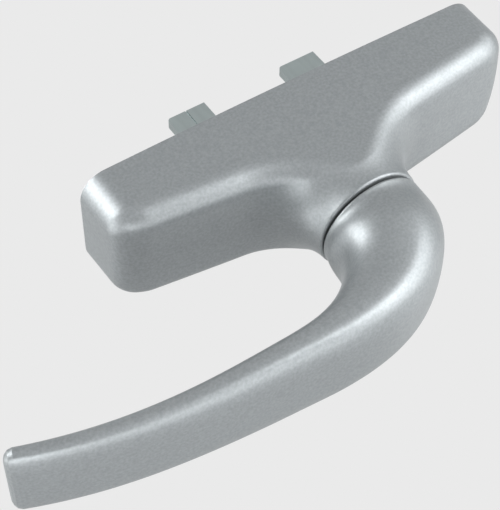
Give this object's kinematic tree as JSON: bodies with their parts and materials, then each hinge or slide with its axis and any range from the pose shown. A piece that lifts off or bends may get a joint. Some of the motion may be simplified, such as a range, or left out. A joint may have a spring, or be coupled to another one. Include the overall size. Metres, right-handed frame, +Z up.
{
  "type": "window handle",
  "caption": "Window handle for a sliding-bolt fitting: a long cast body with a flared boss, a swept lever, and a rack that moves flat prongs along the back.",
  "frame": {"origin": "where the lever's axis meets the mounting plane, which is the back face of the body", "axes": "+X across the handle, +Y into the window frame, +Z up along the body; the lever's axis is Y and at rest the lever hangs towards -Z"},
  "size_m": [0.032, 0.0848, 0.1632],
  "materials": {
    "silver_cast": "satin",
    "zinc_plated": "satin",
    "sintered_steel": "satin",
    "spring_steel": "polished",
    "bearing_plastic": "satin"
  },
  "bodies": {
    "body": {"housing": "silver_cast", "outer_bush": "bearing_plastic", "inner_bush": "bearing_plastic", "back_plate": "zinc_plated", "plate_screw_1": "zinc_plated", "plate_screw_2": "zinc_plated", "plate_screw_3": "zinc_plated", "plate_screw_4": "zinc_plated", "fixing_nut_upper": "zinc_plated", "fixing_nut_lower": "zinc_plated", "guide_left": "bearing_plastic", "guide_right": "bearing_plastic"},
    "lever": {"lever": "silver_cast", "wave_washer": "spring_steel", "thrust_washer": "zinc_plated", "pinion": "sintered_steel", "lever_screw": "zinc_plated"},
    "slide": {"slide_plate": "zinc_plated", "rack": "sintered_steel", "rack_rivet_upper": "zinc_plated", "rack_rivet_lower": "zinc_plated", "prong_upper": "zinc_plated", "prong_lower": "zinc_plated"}
  },
  "joints": [
    {"name": "lever_turn", "type": "hinge", "parent": "body", "child": "lever", "pos_m": [0, 0, 0], "axis": [0, -1, 0], "range_deg": [0, 90]},
    {"name": "slide_travel", "type": "slide", "parent": "body", "child": "slide", "axis": [0, 0, 1], "range_m": [0, 0.01257]}
  ],
  "couplings": [
    {"joint": "slide_travel", "follows": "lever_turn", "m_per_rad": 0.008}
  ]
}
